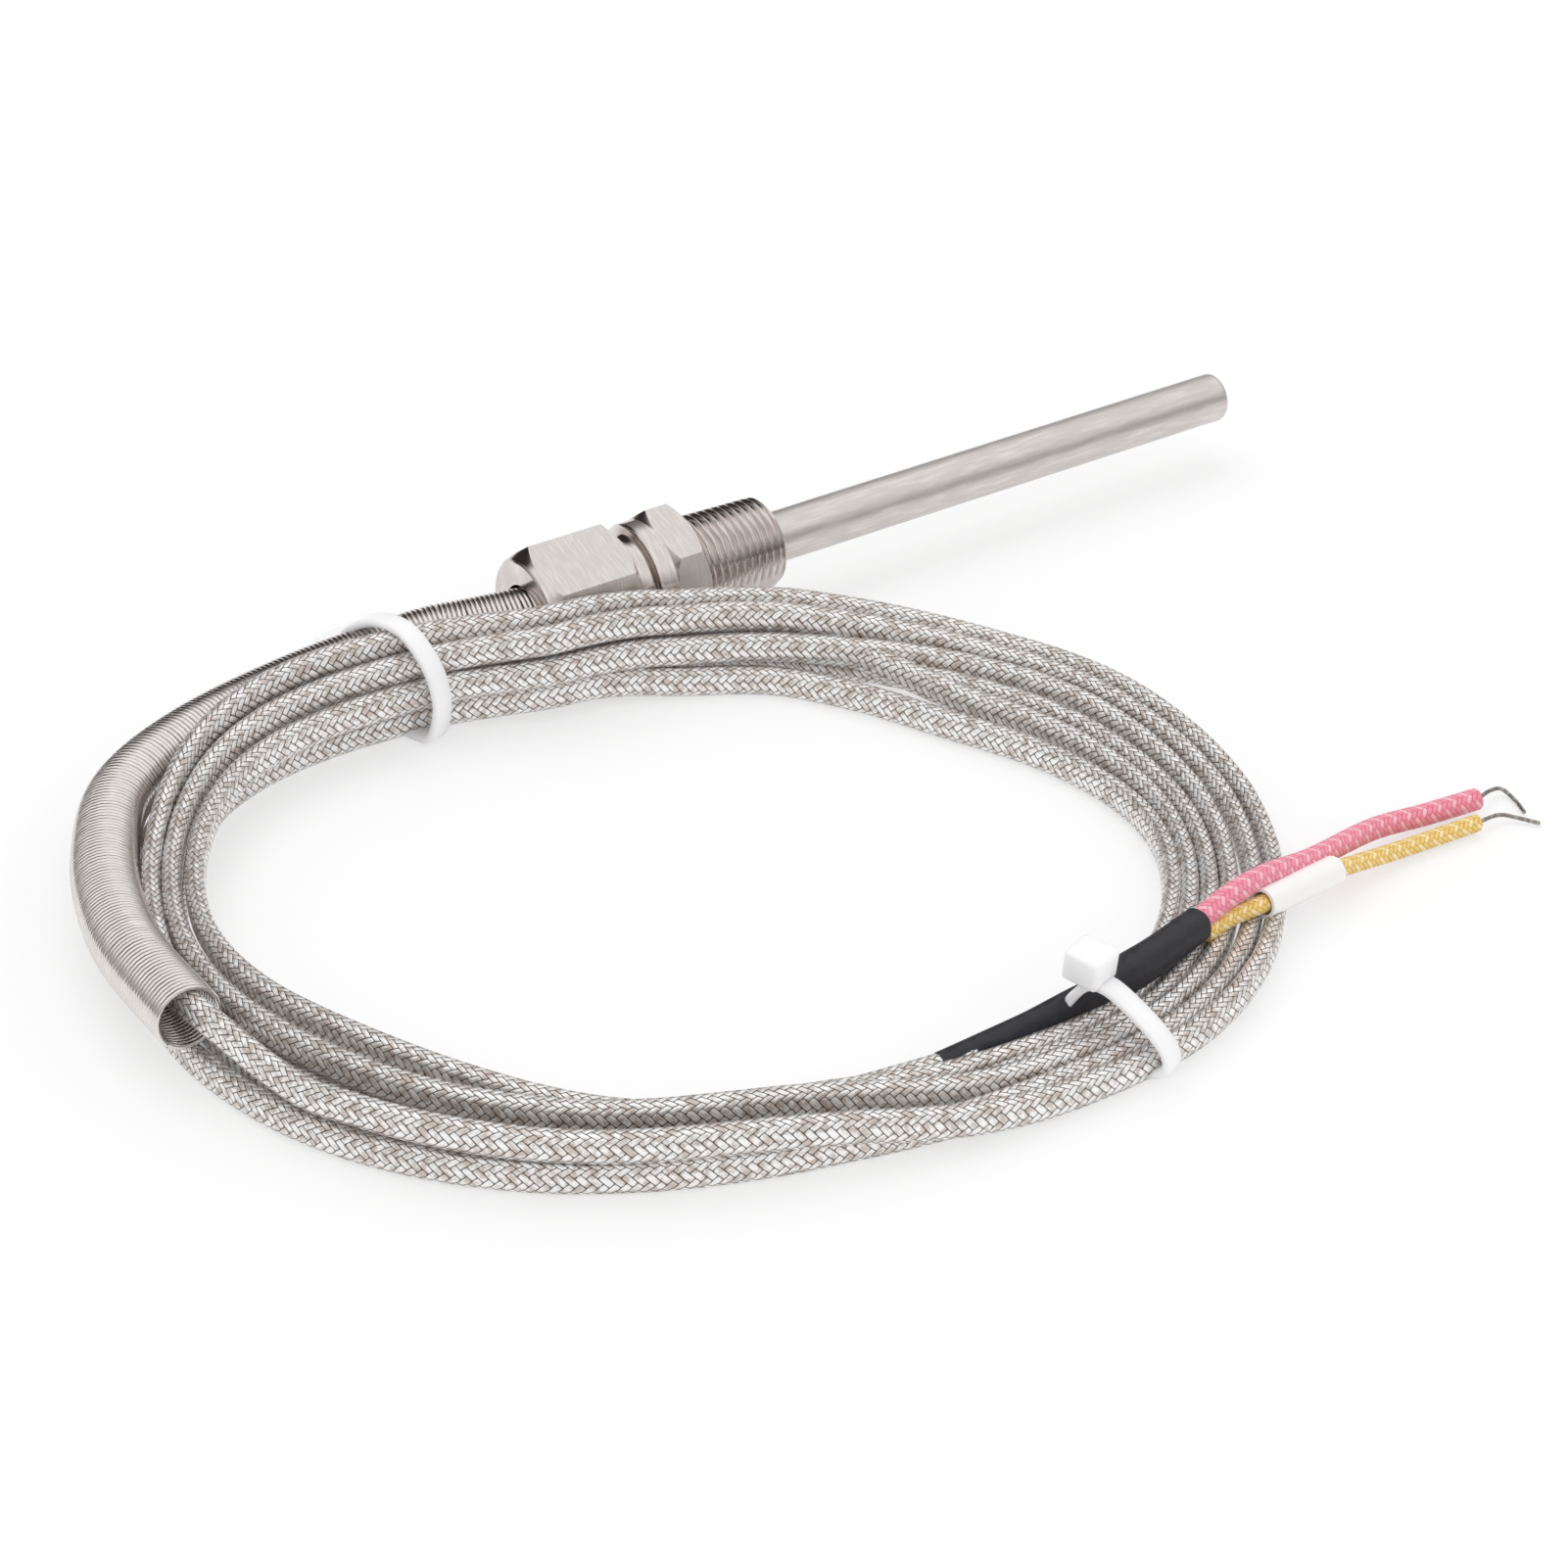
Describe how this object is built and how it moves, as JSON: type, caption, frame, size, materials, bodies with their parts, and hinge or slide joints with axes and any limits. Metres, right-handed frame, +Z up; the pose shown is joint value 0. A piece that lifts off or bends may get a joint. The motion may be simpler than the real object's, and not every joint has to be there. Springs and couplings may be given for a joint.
{
  "type": "thermocouple probe",
  "caption": "Threaded stainless temperature probe with a hexagonal fitting, a spring sleeve and a tied coil of flat braided cable that ends in bare leads.",
  "frame": {"origin": "on the surface the probe lies on, below the middle of the rigid probe (nut, fitting and sheath)", "axes": "+X along the probe's axis from the nut towards the sheath's tip, +Z up from the surface it lies on"},
  "size_m": [0.1682, 0.1124, 0.0159],
  "materials": {
    "sheath_steel": "satin drawn stainless tube",
    "fitting_steel": "turned stainless steel",
    "nut_steel": "fine brushed stainless steel",
    "ferrule_brass": "plain brass",
    "plug_potting": "matt potting compound",
    "junction_weld": "welded bead",
    "thermo_wire_positive": "bare alloy wire",
    "thermo_wire_negative": "bare alloy wire",
    "splice_metal": "plated crimp",
    "spring_steel": "close wound bright steel wire",
    "braid_steel": "stainless wire braid",
    "shrink_black": "matt black shrink sleeve",
    "lead_red": "braided glass fibre sleeve",
    "lead_yellow": "braided glass fibre sleeve",
    "bare_wire": "bare alloy wire",
    "marker_white": "white plastic sleeve",
    "tie_nylon": "translucent white nylon",
    "bead_ceramic": "unglazed alumina"
  },
  "bodies": {
    "root": {"sheath": "sheath_steel", "threaded_body": "fitting_steel", "clamp_nut": "nut_steel", "compression_ferrule": "ferrule_brass", "sealing_plug": "plug_potting", "hot_junction": "junction_weld", "thermo_wire_positive": "thermo_wire_positive", "thermo_wire_negative": "thermo_wire_negative", "crimp_splice_positive": "splice_metal", "crimp_splice_negative": "splice_metal", "strain_relief_spring": "spring_steel", "cable_lead": "braid_steel", "cable_coil": "braid_steel", "heat_shrink": "shrink_black", "lead_red": "lead_red", "lead_yellow": "lead_yellow", "bare_wire_red": "bare_wire", "bare_wire_yellow": "bare_wire", "marker_sleeve": "marker_white", "cable_tie_back": "tie_nylon", "cable_tie_front": "tie_nylon", "insulator_bead_1": "bead_ceramic", "insulator_bead_2": "bead_ceramic", "insulator_bead_3": "bead_ceramic", "insulator_bead_4": "bead_ceramic", "insulator_bead_5": "bead_ceramic"}
  },
  "joints": []
}
